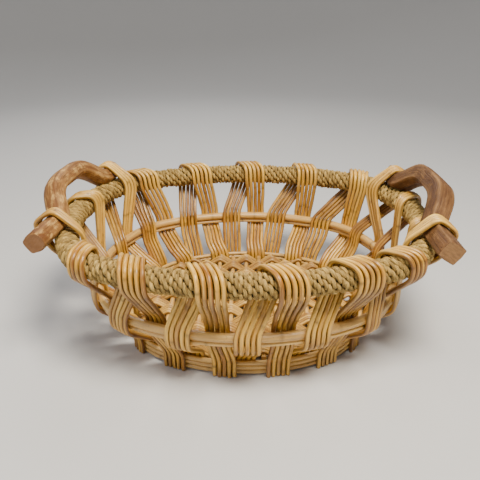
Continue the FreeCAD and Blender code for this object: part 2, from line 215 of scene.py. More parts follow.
class Pile:      # rods gathered into one mesh, with what the materials read at each point
    def __init__(self):
        self.points, self.faces = [], []
        # one of these marks holds painted light and shade: 1 where lit, 0 in painted shade
        self.marks = {"grain": [], "tone": [], "knot": [], "cut": [], "depth": [], "age": []}
        self.count = 0

    def doubled(self, row):      # its first and last entries stand twice, for the bevels
        return None if row is None else np.concatenate((row[:1], row, row[-1:]))

    def rod(self, path, radii, tone, sides=12, closed=False, knots=None, seed=0, depth=None, age=None,
            beside=None):
        ahead, side, cross = frames(path, closed)
        along = lengths(path)
        turns = np.arange(sides) * 2 * math.pi / sides
        if not closed:      # a small bevel at each sawn end
            path = np.concatenate((path[:1], path, path[-1:]))
            path[1] += ahead[0] * sweeping["bevel"]
            path[-2] -= ahead[-1] * sweeping["bevel"]
            radii = self.doubled(radii)
            radii[[0, -1]] *= sweeping["endSize"]
            along, side, cross = self.doubled(along), self.doubled(side), self.doubled(cross)
            knots, depth, age, beside = [self.doubled(row) for row in (knots, depth, age, beside)]
        n = len(path)
        ring = side[:, None] * np.cos(turns)[None, :, None] + cross[:, None] * np.sin(turns)[None, :, None]
        points = (path[:, None] + ring * radii[:, None, None]).reshape(-1, 3)
        local = np.stack((np.repeat(along, sides) + seed * 0.37,
                          (np.cos(turns)[None] * radii[:, None]).ravel(),
                          (np.sin(turns)[None] * radii[:, None]).ravel()), axis=1)
        cut = np.zeros(len(points))
        knot = np.repeat(np.zeros(n) if knots is None else knots, sides)
        deep = np.repeat(np.ones(n) if depth is None else depth, sides)
        old = np.repeat(np.zeros(n) if age is None else age, sides)
        if beside is not None:      # painted shade darkens a rod where it meets the next one
            facing = np.abs((ring * beside[:, None]).sum(axis=2)).ravel()
            groove = np.clip((facing - sweeping["grooveFrom"]) / (1 - sweeping["grooveFrom"]), 0, 1)
            deep = deep * (1 - sweeping["betweenShade"] * groove)
        first = self.count
        rings = n if closed else n - 1
        i, j = np.meshgrid(np.arange(rings), np.arange(sides), indexing="ij")
        a, b = first + i * sides, first + ((i + 1) % n) * sides
        quads = np.stack((a + j, a + (j + 1) % sides, b + (j + 1) % sides, b + j), axis=-1)
        self.faces += quads.reshape(-1, 4).tolist()
        if not closed:      # each end closes on a middle point of its own
            for row, step, middle in ((0, -1, path[0]), (n - 1, 1, path[-1])):
                capStart = len(points)
                start = row * sides
                again = points[start:start + sides]
                points = np.concatenate((points, again, middle[None]))
                local = np.concatenate((local, local[start:start + sides], [[local[start][0], 0, 0]]))
                cut = np.concatenate((cut, np.ones(sides + 1)))
                knot = np.concatenate((knot, np.zeros(sides + 1)))
                deep = np.concatenate((deep, deep[start:start + sides], deep[start:start + 1]))
                old = np.concatenate((old, old[start:start + sides], old[start:start + 1]))
                for k in range(sides):
                    here, there = first + capStart + k, first + capStart + (k + 1) % sides
                    face = [here, there, first + capStart + sides]
                    self.faces.append(face if step > 0 else face[::-1])
        self.points.append(points)
        for name, values in (("grain", local), ("tone", np.full(len(points), tone)), ("knot", knot),
                             ("cut", cut), ("depth", deep), ("age", old)):
            self.marks[name].append(values)
        self.count += len(points)

    def piece(self, name, material, slot, *nodes):
        mesh = bpy.data.meshes.new(name)
        mesh.from_pydata(np.concatenate(self.points).tolist(), [], self.faces)
        for mark, parts in self.marks.items():
            kind, field = ("FLOAT_VECTOR", "vector") if mark == "grain" else ("FLOAT", "value")
            layer = mesh.attributes.new(mark, kind, "POINT")
            layer.data.foreach_set(field, np.concatenate(parts).astype(np.float32).ravel())
        mesh.polygons.foreach_set("use_smooth", [True] * len(mesh.polygons))
        mesh.update()
        made = bpy.data.objects.new(name, mesh)
        bpy.context.scene.collection.objects.link(made)
        mesh.materials.append(material)
        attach(made, "root")
        if nodes:
            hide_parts(*nodes)
        return made


class Wire:      # one output socket, so that shader sums read as sums
    def __init__(self, finish, socket):
        self.finish = finish
        self.socket = socket

    def sum(self, operation, first, second):
        return self.finish.add("ShaderNodeMath", {"operation": operation}, {0: first, 1: second})

    def __add__(self, other):
        return self.sum("ADD", self, other)

    def __sub__(self, other):
        return self.sum("SUBTRACT", self, other)

    def __rsub__(self, other):
        return self.sum("SUBTRACT", other, self)

    def __mul__(self, other):
        return self.sum("MULTIPLY", self, other)

    __radd__ = __add__
    __rmul__ = __mul__


class Finish:      # a material while it is being wired
    def __init__(self, name, specular=0.4):
        self.material = bpy.data.materials.new(name)
        self.material.use_nodes = True
        self.tree = self.material.node_tree
        self.surface = self.tree.nodes["Principled BSDF"]
        self.surface.inputs["Specular IOR Level"].default_value = specular

    def add(self, kind, settings, sockets, output=0):
        node = self.tree.nodes.new(kind)
        for setting, value in settings.items():
            if setting == "stops":
                self.setStops(node.color_ramp, value)
            else:
                setattr(node, setting, value)
        for place, value in sockets.items():
            self.join(node.inputs[place], value)
        return Wire(self, node.outputs[output])

    def join(self, socket, value):
        if isinstance(value, Wire):
            self.tree.links.new(value.socket, socket)
        else:
            socket.default_value = value

    def setStops(self, ramp, stops):
        while len(ramp.elements) < len(stops):
            ramp.elements.new(0.5)
        for element, (place, colour) in zip(ramp.elements, stops):
            element.position = place
            element.color = (*colour, 1)

    def read(self, mark, output="Fac"):
        return self.add("ShaderNodeAttribute", {"attribute_name": mark}, {}, output)

    def stretched(self, vector, x, y, z):
        return self.add("ShaderNodeVectorMath", {"operation": "MULTIPLY"}, {0: vector, 1: (x, y, z)})

    def noise(self, vector, scale, detail=3.0, roughness=0.55):
        return self.add("ShaderNodeTexNoise", {},
                        {"Vector": vector, "Scale": scale, "Detail": detail, "Roughness": roughness})

    def span(self, value, low, high, bottom=0.0, top=1.0):      # low to high becomes bottom to top
        return self.add("ShaderNodeMapRange", {"interpolation_type": "SMOOTHSTEP"},
                        {"Value": value, "From Min": low, "From Max": high, "To Min": bottom, "To Max": top})

    def blend(self, share, first, second, kind="MIX"):
        return self.add("ShaderNodeMix", {"data_type": "RGBA", "blend_type": kind},
                        {0: share, 6: self.opaque(first), 7: self.opaque(second)}, 2)

    def opaque(self, colour):
        return colour if isinstance(colour, Wire) else (*colour, 1)

    def finishWith(self, colour, roughness, height, distance):
        bump = self.add("ShaderNodeBump", {}, {"Strength": 1.0, "Distance": distance, "Height": height})
        self.join(self.surface.inputs["Base Color"], colour)
        self.join(self.surface.inputs["Roughness"], roughness)
        self.join(self.surface.inputs["Normal"], bump)
        return self.material


barkGrain = {"streaks": (22, 620, 620), "blotches": (26, 90, 90), "patches": (9, 30, 30),
             "specks": (420, 900, 900)}      # marks to the metre: along a rod, and across it twice
barkRelief = 0.5 * mm


def willow(name, colours):
    finish = Finish(name, colours["specular"])
    grain = finish.read("grain", "Vector")
    tone, knot, cut = finish.read("tone"), finish.read("knot"), finish.read("cut")
    depth, age = finish.read("depth"), finish.read("age")
    streaks = finish.noise(finish.stretched(grain, *barkGrain["streaks"]), 1.0, 4.0, 0.6)
    blotches = finish.noise(finish.stretched(grain, *barkGrain["blotches"]), 1.0, 3.0, 0.6)
    patches = finish.noise(finish.stretched(grain, *barkGrain["patches"]), 1.0, 2.0, 0.5)
    specks = finish.noise(finish.stretched(grain, *barkGrain["specks"]), 1.0, 2.0, 0.5)
    base = finish.blend(finish.span(tone * 0.75 + patches * 0.5, 0.2, 0.95), colours["deep"], colours["pale"])
    base = finish.blend(finish.span(blotches, 0.45, 0.72, 0, colours["stain"]), base, colours["brown"])
    base = finish.blend(finish.span(streaks, 0.47, 0.72, 0, 0.55), base, colours["straw"])
    base = finish.blend(finish.span(streaks, 0.48, 0.28, 0, colours["streak"]), base, colours["brown"])
    base = finish.blend(finish.span(age + blotches * 0.8 - 0.4, 0.15, 0.9, 0, 0.8), base, colours["aged"])
    base = finish.blend(finish.span(age, -0.05, -0.45, 0, 0.5), base, colours["straw"])
    base = finish.blend(finish.span(specks + age * 0.06, 0.62, 0.74, 0, 0.55), base, colours["dark"])
    base = finish.blend(knot * 0.75, base, colours["dark"])
    base = finish.blend(cut * 0.8, base, colours["sawn"])
    # painted shade: darker on the sides of a rod that face its neighbours
    base = finish.blend((1 - depth) * 0.85, base, colours["dark"])
    roughness = finish.span(streaks + blotches * 0.5, 0.4, 1.1, colours["shine"], colours["shine"] + 0.25)
    height = streaks * 0.7 + specks * 0.25 + blotches * 0.3
    return finish.finishWith(base, roughness, height, barkRelief)


rodColours = {"deep": (0.36, 0.135, 0.012), "pale": (0.72, 0.385, 0.042), "brown": (0.18, 0.062, 0.007),
              "straw": (0.95, 0.63, 0.14), "dark": (0.07, 0.022, 0.004), "sawn": (0.62, 0.38, 0.13),
              "aged": (0.20, 0.088, 0.022),
              "stain": 0.75, "streak": 0.75, "shine": 0.25, "specular": 0.7}
stickColours = {**rodColours, "deep": (0.48, 0.25, 0.065), "pale": (0.74, 0.46, 0.14), "stain": 0.2,
                "streak": 0.35}
floorColours = {**rodColours, "deep": (0.30, 0.13, 0.022), "pale": (0.68, 0.40, 0.09), "stain": 0.45,
                "shine": 0.32}
rodWillow = willow("willow_rod", rodColours)
stickWillow = willow("willow_stick", stickColours)
floorWillow = willow("floor_willow", floorColours)


grassColours = {"deep": (0.085, 0.050, 0.014), "olive": (0.23, 0.143, 0.042), "pale": (0.45, 0.29, 0.085),
                "straw": (0.86, 0.60, 0.19), "dark": (0.022, 0.012, 0.003)}


grassGrain = {"fibres": (90, 1900, 1900), "blotches": (45, 60, 60)}
grassRelief = 1.1 * mm


def grass():
    finish = Finish("grass_rope", 0.25)
    grain = finish.read("grain", "Vector")
    tone, depth = finish.read("tone"), finish.read("depth")
    fibres = finish.noise(finish.stretched(grain, *grassGrain["fibres"]), 1.0, 4.0, 0.65)
    blotches = finish.noise(finish.stretched(grain, *grassGrain["blotches"]), 1.0, 3.0, 0.6)
    base = finish.blend(finish.span(tone * 0.6 + blotches * 0.6, 0.25, 0.9), grassColours["olive"],
                        grassColours["pale"])
    # painted highlight in straw on the outward side of each ply
    base = finish.blend(finish.span(depth * 0.5 + blotches, 0.9, 1.25, 0, 0.75), base, grassColours["straw"])
    base = finish.blend(finish.span(fibres, 0.5, 0.7, 0, 0.7), base, grassColours["straw"])
    base = finish.blend(finish.span(fibres, 0.48, 0.28, 0, 0.75), base, grassColours["deep"])
    # painted shade where a ply turns into the rope
    base = finish.blend(finish.span(depth, 0.62, 0.1), base, grassColours["dark"])
    roughness = finish.span(fibres, 0.3, 0.7, 0.62, 0.85)
    return finish.finishWith(base, roughness, fibres + blotches * 0.2, grassRelief)


timberGrain = {"lines": (9, 420, 420), "pores": (70, 1500, 1500), "mottle": (95, 150, 150),
               "cloud": (14, 30, 30), "rings": (3, 190, 520)}
timberRelief = 0.9 * mm
handleColours = {
    "left": {"deep": (0.16, 0.058, 0.014), "mid": (0.36, 0.18, 0.055), "worn": (0.60, 0.36, 0.12),
             "dark": (0.045, 0.013, 0.004), "end": (0.24, 0.115, 0.045), "mottle": 0.85},
    "right": {"deep": (0.080, 0.032, 0.011), "mid": (0.19, 0.088, 0.031), "worn": (0.42, 0.23, 0.088),
              "dark": (0.04, 0.012, 0.004), "end": (0.30, 0.155, 0.06), "mottle": 0.3}}


def handleWood(side):
    colours = handleColours[side]
    finish = Finish("handle_wood_" + side, 0.35)
    grain = finish.read("grain", "Vector")
    cut, worn = finish.read("cut"), finish.read("knot")
    lines = finish.noise(finish.stretched(grain, *timberGrain["lines"]), 1.0, 5.0, 0.65)
    pores = finish.noise(finish.stretched(grain, *timberGrain["pores"]), 1.0, 2.0, 0.5)
    mottle = finish.noise(finish.stretched(grain, *timberGrain["mottle"]), 1.0, 4.0, 0.65)
    cloud = finish.noise(finish.stretched(grain, *timberGrain["cloud"]), 1.0, 2.0, 0.5)
    base = finish.blend(finish.span(cloud * 0.6 + lines * 0.6, 0.4, 0.8), colours["deep"], colours["mid"])
    base = finish.blend(finish.span(mottle, 0.48, 0.66, 0, colours["mottle"]), base, colours["worn"])
    base = finish.blend(finish.span(mottle, 0.47, 0.34, 0, colours["mottle"] * 0.7), base, colours["deep"])
    base = finish.blend(finish.span(lines, 0.49, 0.32, 0, 0.85), base, colours["deep"])
    base = finish.blend(finish.span(pores, 0.46, 0.3, 0, 0.8), base, colours["dark"])
    base = finish.blend(worn * 0.55, base, colours["worn"])
    rings = finish.noise(finish.stretched(grain, *timberGrain["rings"]), 1.0, 2.0, 0.5)
    sawn = finish.blend(finish.span(rings, 0.3, 0.7, 0, 0.45), colours["end"], colours["deep"])
    base = finish.blend(cut, base, sawn)
    roughness = finish.span(mottle + pores * 0.4, 0.45, 0.95, 0.45, 0.68)
    return finish.finishWith(base, roughness, lines * 0.8 + pores * 0.5 + mottle * 0.3, timberRelief)


grassRope = grass()
print("materials made")


handle = {"width": 22 * mm, "thick": 20 * mm, "lean": 55, "rise": 31 * mm, "topShare": 0.46,
          "footBend": 20 * mm, "topBend": 52 * mm, "level": 17 * mm, "nearStub": 47 * mm, "farStub": 27 * mm,
          "seat": 2.5 * mm,
          "middle": {"left": 0.4835, "right": 0.998}, "reach": 0.0745, "strapGap": 1.2 * mm,
          "slack": 2.0 * mm, "layGap": 0.3 * mm, "edge": {"left": 6.5 * mm, "right": 2.6 * mm},
          "carved": {"left": 0.5 * mm, "right": 0.2 * mm}, "seed": {"left": 3, "right": 8},
          "uneven": 0.05, "bevel": 0.09, "bevelLength": 1.6 * mm, "facets": 9, "facetLength": (0.03, 0.09),
          "facetSides": (2, 7), "nearRope": 12 * mm, "rubbedFrom": 1.02, "rubbedOver": 0.18,
          "endRings": (1.0, 0.72, 0.4), "endDish": 0.3 * mm, "smoothing": 18, "step": 2.0 * mm}


class Handle:
    def __init__(self, side):
        middle = handle["middle"][side]
        self.stubs = (handle["farStub"], handle["nearStub"])      # at its first lashing and at its second
        if side == "right":
            self.stubs = self.stubs[::-1]
        self.shares = (middle - handle["reach"], middle + handle["reach"])
        a, b = [rim.at(rim.angleAt(share * rim.length)) for share in self.shares]
        self.halfSpan = np.linalg.norm(b - a) / 2
        self.along = unit(b - a)
        self.out = np.cross(self.along, upward)
        lean = math.radians(handle["lean"])
        self.rise = self.out * math.cos(lean) + upward * math.sin(lean)
        self.across = self.out * math.sin(lean) - upward * math.cos(lean)
        lift = ropeR + handle["layGap"] + handle["thick"] / 2 - handle["seat"]
        self.centre = (a + b) / 2 + self.rise * lift
        self.turn = 1 / abs(outwardAt(rim.angleAt(self.shares[1] * rim.length)) @ self.out)

    def point(self, along, rise, across=0.0):
        return self.centre + self.along * along + self.rise * rise + self.across * across

    def strap(self, end, w, rodR):      # corners of a rod that goes over this end's foot
        y = end * self.halfSpan + w
        high = handle["thick"] / 2 + rodR + handle["strapGap"]
        wide = handle["width"] / 2 + rodR + handle["strapGap"]
        return [self.point(y, high, handle["slack"] - wide), self.point(y, high, wide),
                self.point(y, -handle["thick"] / 2, wide + handle["slack"])]

    def ropePoint(self, end, w, side, z):
        station = self.shares[0 if end < 0 else 1] * rim.length + w * self.turn
        return rim.at(rim.angleAt(station), z) + self.out * (side * self.turn)

    def route(self):
        lash, top, level = self.halfSpan, self.halfSpan * handle["topShare"], handle["level"]
        points = [self.point(-lash - self.stubs[0], 0), self.point(level - lash, 0),
                  self.point(-top, handle["rise"]), self.point(top, handle["rise"]),
                  self.point(lash - level, 0), self.point(lash + self.stubs[1], 0)]
        bends = [0, handle["footBend"], handle["topBend"], handle["topBend"], handle["footBend"], 0]
        return eased(evenly(roundedPath(points, bends), handle["step"]), handle["smoothing"])


handles = {side: Handle(side) for side in handle["middle"]}
rimLine = np.array([rim.at(rim.angleAt(rim.length * k / 720)) for k in range(720)])


def barSection(edge, count=56):      # a rounded rectangle, as points round its middle
    halfW, halfT = handle["width"] / 2, handle["thick"] / 2
    points = []
    for k in range(count):
        angle = 2 * math.pi * (k + 0.5) / count
        x, y = math.cos(angle), math.sin(angle)
        reach = min((halfW - edge) / max(abs(x), 1e-6), (halfT - edge) / max(abs(y), 1e-6))
        flat = np.array((x, y)) * reach
        points.append(flat + np.array((x, y)) * edge)
    return np.array(points)


def bar(side):
    shape = handles[side]
    path = shape.route()
    along = lengths(path)
    section = barSection(handle["edge"][side])
    sides = len(section)
    seed = handle["seed"][side]
    ahead = np.gradient(path, axis=0)
    ahead /= np.linalg.norm(ahead, axis=1)[:, None]
    over = np.cross(shape.across, ahead) * (1 if np.cross(shape.across, ahead[0]) @ shape.rise > 0 else -1)
    wide = 1 + waver(along, handle["uneven"], seed)
    tall = 1 + waver(along, handle["uneven"], seed + 1)
    end = np.minimum(along, along[-1] - along)
    ending = np.clip(1 - end / handle["bevelLength"], 0, 1)
    bevel = 1 - handle["bevel"] * ending ** 2      # the sawn ends are a little rounded
    x = section[None, :, 0] * (wide * bevel)[:, None]
    y = section[None, :, 1] * (tall * bevel)[:, None]
    turns = np.arange(sides) * 2 * math.pi / sides
    carve = np.zeros((len(path), sides))
    draw = random.Random(seed)
    for _ in range(handle["facets"]):      # shallow facets left by the drawknife
        wave, times = draw.uniform(*handle["facetLength"]), draw.randint(*handle["facetSides"])
        carve += np.sin(along[:, None] * fullTurn / wave + turns[None] * times + draw.uniform(0, anyPhase))
    carve *= handle["carved"][side] / handle["facets"]
    radial = np.hypot(x, y)
    x, y = x * (1 + carve / radial), y * (1 + carve / radial)
    points = path[:, None] + shape.across * x[..., None] + over[:, None] * y[..., None]
    flat = points.reshape(-1, 3)
    lowest = rim.z + ropeR + handle["nearRope"]
    for i in np.nonzero(flat[:, 2] < lowest)[0]:      # the rope presses a seat into each foot
        near = rimLine[np.argmin(((rimLine - flat[i]) ** 2).sum(axis=1))]
        away = flat[i] - near
        distance = np.linalg.norm(away)
        if distance < ropeR + handle["layGap"]:
            flat[i] = near + away * ((ropeR + handle["layGap"]) / distance)
    corner = radial / radial.mean() - handle["rubbedFrom"]
    corner = np.clip(corner / handle["rubbedOver"], 0, 1)      # corners are rubbed pale
    pile = Pile()
    n = len(path)
    local = np.stack((np.repeat(along, sides) + seed * 0.31, x.ravel(), y.ravel()), axis=1)
    i, j = np.meshgrid(np.arange(n - 1), np.arange(sides), indexing="ij")
    quads = np.stack((i * sides + j, i * sides + (j + 1) % sides, (i + 1) * sides + (j + 1) % sides,
                      (i + 1) * sides + j), axis=-1).reshape(-1, 4)
    outward = np.cross(flat[quads[0][1]] - flat[quads[0][0]], flat[quads[0][3]] - flat[quads[0][0]])
    flip = outward @ (flat[quads[0][0]] - path[0]) < 0
    pile.faces = (quads[:, ::-1] if flip else quads).tolist()
    cut, worn = np.zeros(len(flat)), corner.ravel() * (0.55 + 0.45 * np.sin(local[:, 0] * 90))
    shrink = handle["endRings"]      # rings of the sawn face
    for row, flipEnd in ((0, not flip), (n - 1, flip)):
        start = row * sides
        middle, edge = path[row], flat[start:start + sides]
        firstRing = len(flat)
        for share in shrink:
            dish = ahead[row] * (handle["endDish"] * (1 - share)) * (1 if row == 0 else -1)
            flat = np.concatenate((flat, middle + (edge - middle) * share + dish))
            local = np.concatenate((local, local[start:start + sides] * (1, share, share)))
        flat = np.concatenate((flat, middle[None]))
        local = np.concatenate((local, [[local[start][0], 0, 0]]))
        cut = np.concatenate((cut, np.ones(sides * len(shrink) + 1)))
        worn = np.concatenate((worn, np.zeros(sides * len(shrink) + 1)))
        tip = firstRing + len(shrink) * sides
        for ring in range(len(shrink)):
            for k in range(sides):
                a, b = firstRing + ring * sides + k, firstRing + ring * sides + (k + 1) % sides
                face = [a, b, tip] if ring == len(shrink) - 1 else [a, b, b + sides, a + sides]
                pile.faces.append(face[::-1] if flipEnd else face)
    pile.points = [flat]
    pile.marks = {"grain": [local], "tone": [np.full(len(flat), 0.5)], "knot": [worn], "cut": [cut],
                  "depth": [np.ones(len(flat))], "age": [np.zeros(len(flat))]}
    pile.piece("bar_" + side, handleWood(side), "handle_wood", "handle_" + side)


for side in handles:
    bar(side)
print("handles made")


band = {"thick": 4.8 * mm, "pitch": 5.0 * mm, "layGap": 0.3 * mm, "side": 5, "corner": 4, "end": 3,
        "farSide": (0.114, 0.378), "nearSide": (0.661, 0.836), "left": 0.472, "nearLeft": 0.612,
        "nearRight": 0.880, "right": (0.960, 1.026), "innerBack": 0.018, "outerOn": 0.021, "legGap": 1.9 * mm,
        "slant": 8 * mm, "innerDrift": 4 * mm, "outerDrift": 2 * mm, "footSpread": 1.04, "tuck": 14 * mm,
        "waistBend": 18 * mm, "kneeBend": 10 * mm, "tuckBend": 5 * mm, "ropeBend": 14.5 * mm,
        "lashBend": 5 * mm, "innerSlack": 1.2 * mm, "kneeShare": 0.45, "waistStretch": 7 * mm,
        "thinStretch": 4.5 * mm, "upperPass": 0.3, "ropeFan": 1.15, "overRoom": 1.04, "footStretch": 2 * mm,
        "meet": 0.15, "leave": 0.5, "strapStart": 0.7, "kneeRoom": 0.6 * mm, "wander": 0.3 * mm,
        "bandWander": 0.9 * mm, "easings": 300, "step": 2.4 * mm, "smoothing": 6, "sides": 14,
        "fade": 12 * mm, "freeFrom": 12 * mm, "freeOver": 20 * mm, "tip": 1.8 * mm, "swell": 0.07,
        "uneven": 0.025}
ageing = {"half": 0.06, "start": 2 * mm, "over": 14 * mm, "least": 0.12, "outer": 0.5, "aboveWaist": 10 * mm,
          "foot": 0.3, "footOver": 12 * mm, "spread": 0.12, "insideOver": 15 * mm, "insidePaling": (0.2, 0.45)}
rodR = band["thick"] / 2
besideRope = ropeR + band["layGap"] + rodR
besideWaist = waistR + band["layGap"] + rodR
besideFoot = stickR + band["layGap"] + rodR
tuckZ = rodR + 0.2 * mm
footHighZ = footHigh.z + band["footStretch"]
waistHighZ = waist.z + band["waistStretch"]
waistLowZ = (thinLow.z + thinHigh.z) / 2 - band["thinStretch"]
meetZ = rim.z - band["meet"] * besideRope
leaveZ = rim.z - band["leave"] * besideRope
knee = foot.towards(waist, band["kneeShare"])


def place(oval, out, share, along, z):
    angle = oval.angleAt(share * oval.length)
    shifted = oval.grown(out)
    return shifted.at(shifted.angleAt(shifted.stationAt(angle) + along), z)


def innerLeg(w, fan, share):      # from under the floor up to above the waist hoop
    low = w * band["footSpread"] - band["innerDrift"]
    heel = place(foot, -besideFoot, share, low, tuckZ)
    inwards = -outwardAt(foot.angleAt(share * foot.length))
    kneeOut = -band["thick"] - band["layGap"] - band["kneeRoom"]
    return [heel + inwards * band["tuck"], heel, place(foot, -besideFoot, share, low, footHighZ),
            place(knee, kneeOut, share, w * fan, knee.z),
            place(waist, besideWaist, share, w * fan, waistLowZ),
            place(waist, besideWaist, share, w * fan, waistHighZ)]


def outerLeg(w, fan, share, tip):      # from above the waist hoop down to the ground
    low = w * band["footSpread"] + band["outerDrift"]
    return [place(waist, -besideWaist, share, w * fan, waistHighZ),
            place(waist, -besideWaist, share, w * fan, waistLowZ),
            place(foot, besideFoot, share, low, footHighZ), place(foot, besideFoot, share, low, tip)]


class Band:
    def __init__(self, node, share, count, handleSide=None, end=0):
        self.node, self.share, self.count = node, share, count
        self.handle, self.end = handles.get(handleSide), end
        self.legs = [share - band["innerBack"], share + band["outerOn"]]
        self.fans = [1.0, 1.0]

    def setFans(self):      # slanted rods stand wider along the hoop, to stay a pitch apart
        tops = [place(rim, -besideRope, self.share, -band["slant"], meetZ),
                place(rim, besideRope, self.share, band["slant"], leaveZ)]
        if self.handle:
            tops = [self.handle.ropePoint(self.end, 0, -besideRope, meetZ),
                    self.handle.ropePoint(self.end, 0, besideRope, leaveZ)]
        for k, out in enumerate((besideWaist, -besideWaist)):
            angle = waist.angleAt(self.legs[k] * waist.length)
            run = unit(tops[k] - place(waist, out, self.legs[k], 0, waistHighZ))
            aslant = run @ np.array((-math.sin(angle), math.cos(angle), 0))
            self.fans[k] = 1 / math.sqrt(1 - aslant ** 2)

    def width(self, leg):
        return (self.count - 1) * band["pitch"] * self.fans[leg] + band["thick"]

    def corners(self, w, tip):
        rope, lash = band["ropeBend"], band["lashBend"]
        if self.handle:
            inside = -besideRope - band["innerSlack"]
            startZ = rim.z + band["strapStart"] * besideRope
            middle = [self.handle.ropePoint(self.end, w * self.fans[0], inside, meetZ),
                      self.handle.ropePoint(self.end, w, inside, startZ)]
            middle += self.handle.strap(self.end, w, rodR)
            outside = besideRope + handle["slack"]
            middle += [self.handle.ropePoint(self.end, w * self.fans[1], outside, leaveZ)]
            bends = [rope, rope, lash, lash, lash, rope]
        else:
            overFan = band["overRoom"] * math.hypot(band["slant"], besideRope) / besideRope
            before = w * max(self.fans[0], overFan) - band["slant"]
            after = w * max(self.fans[1], overFan) + band["slant"]
            top = rim.z + besideRope
            middle = [place(rim, -besideRope, self.share, before, meetZ),
                      place(rim, -besideRope, self.share, before, top),
                      place(rim, besideRope, self.share, after, top),
                      place(rim, besideRope, self.share, after, leaveZ)]
            bends = [rope] * 4
        points = innerLeg(w, self.fans[0], self.legs[0]) + middle
        points += outerLeg(w, self.fans[1], self.legs[1], tip)
        kneeBend, waistBend = band["kneeBend"], band["waistBend"]
        return points, ([0, band["tuckBend"], kneeBend, kneeBend, kneeBend, waistBend] + bends
                        + [waistBend, waistBend, kneeBend, 0])


def roomFor(one, leg, other, otherLeg):      # least share of the hoop between two legs that pass each other
    width = (one.width(leg) + other.width(otherLeg)) / 2 + band["legGap"]
    need = width / knee.length
    if one is other:
        passing = waist.towards(rim, band["upperPass"]).length * (1 - band["upperPass"])
        slant = 0 if one.handle else band["slant"]
        need = max(need, (width * band["ropeFan"] - 2 * slant * band["upperPass"]) / passing)
    return need


def planBands():
    def spread(first, last, count):
        return [first + (last - first) * k / (count - 1) for k in range(count)]
    left, right = handles["left"].shares, handles["right"].shares
    farSide, nearSide = spread(*band["farSide"], 5), spread(*band["nearSide"], 4)
    plan = [Band(f"wall_band_far_{k + 1}", share, band["side"]) for k, share in enumerate(farSide)]
    plan += [Band("lashing_far_left", left[0], band["corner"], "left", -1),
             Band("wall_band_left", band["left"], band["corner"]),
             Band("lashing_near_left", left[1], band["end"], "left", 1),
             Band("wall_band_near_1", band["nearLeft"], band["corner"])]
    plan += [Band(f"wall_band_near_{k + 2}", share, band["side"]) for k, share in enumerate(nearSide)]
    plan += [Band("wall_band_near_6", band["nearRight"], band["corner"]),
             Band("lashing_near_right", right[0], band["corner"], "right", -1),
             Band("wall_band_right_2", band["right"][0], band["end"]),
             Band("wall_band_right_1", band["right"][1], band["end"]),
             Band("lashing_far_right", right[1], band["corner"], "right", 1)]
    legs = [(one, leg) for one in plan for leg in (0, 1)]
    for _ in range(band["easings"]):      # the legs ease apart along the waist hoop until each has room
        for k, (one, leg) in enumerate(legs):
            other, otherLeg = legs[(k + 1) % len(legs)]
            apart = (other.legs[otherLeg] - one.legs[leg] + 0.5) % 1 - 0.5
            need = roomFor(one, leg, other, otherLeg)
            if need > apart:
                one.legs[leg] -= (need - apart) / 2
                other.legs[otherLeg] += (need - apart) / 2
        for one in plan:
            one.setFans()
    return plan


knotLength = 1.5 * mm


def knotsAlong(along, draw, spacing=(0.035, 0.085)):      # where buds grew: 1 at a knot, 0 between
    marks = np.zeros(len(along))
    spot = draw.uniform(0, spacing[1])
    while spot < along[-1]:
        strength = draw.uniform(0.35, 1.0)
        marks = np.maximum(marks, strength * np.exp(-((along - spot) / knotLength) ** 2))
        spot += draw.uniform(*spacing)
    return marks


def makeBand(one, index):      # every rod has random seeds of its own, made from its band and its place
    pile = Pile()
    shared = index * 41
    for k in range(one.count):
        draw = random.Random(index * 97 + k)
        w = (k - (one.count - 1) / 2) * band["pitch"]
        points, bends = one.corners(w, draw.uniform(0, band["tip"]))
        path = eased(evenly(roundedPath(points, bends), band["step"]), band["smoothing"])
        along = lengths(path)
        ahead, side, cross = frames(path, False)
        fade = np.clip(np.minimum(along, along[-1] - along) / band["fade"], 0, 1)
        free = fade * np.clip((np.abs(path[:, 2] - rim.z) - band["freeFrom"]) / band["freeOver"], 0, 1)
        path = path + side * (waver(along, band["wander"], index * 31 + k) * fade)[:, None]
        path = path + cross * (waver(along, band["wander"], index * 37 + k + 500) * fade)[:, None]
        hoopWay = np.stack((-path[:, 1], path[:, 0], 0 * along), axis=1)
        hoopWay /= np.linalg.norm(hoopWay, axis=1)[:, None]
        path = path + hoopWay * (waver(along, band["bandWander"], shared) * free)[:, None]
        knots = knotsAlong(along, draw)
        outerHalf = np.clip((along / along[-1] - 0.5) / ageing["half"], 0, 1)
        below = np.clip((rim.z - ageing["start"] - path[:, 2]) / ageing["over"], 0, 1)
        weather = outerHalf * np.clip((path[:, 2] - waist.z) / ageing["aboveWaist"], 0, 1)
        age = below * (ageing["least"] + ageing["outer"] * weather)
        age = age + ageing["foot"] * np.clip((footHighZ - path[:, 2]) / ageing["footOver"], 0, 1)
        age = age + draw.uniform(-ageing["spread"], ageing["spread"])
        inside = (1 - outerHalf) * np.clip((path[:, 2] - waistLowZ) / ageing["insideOver"], 0, 1)
        age = age - inside * draw.uniform(*ageing["insidePaling"])      # the inner legs are paler going up from the thin waist hoop
        taper = 1 + draw.uniform(0.01, 0.07) * (0.5 - along / along[-1]) * 2
        radii = rodR * taper * (1 + band["swell"] * knots)
        radii = radii * (1 + waver(along, band["uneven"], index * 13 + k))
        # the rod's sides that face its neighbours along the hoop get painted shade
        pile.rod(path, radii, draw.uniform(0.05, 1.0), sides=band["sides"], knots=knots, seed=index * 7 + k,
                 age=age, beside=hoopWay)
    name = one.node.replace("wall_band", "band").replace("lashing", "lash")
    pile.piece(name, rodWillow, "willow_rod", one.node)


for index, one in enumerate(planBands()):
    makeBand(one, index)
print("bands made")


hoop = {"step": 3 * mm, "wander": 0.5 * mm, "stickWander": 0.35 * mm, "waves": (2, 3, 5, 7, 11),
        "knots": (0.05, 0.12), "swell": 0.05, "uneven": 0.03, "sides": 18}


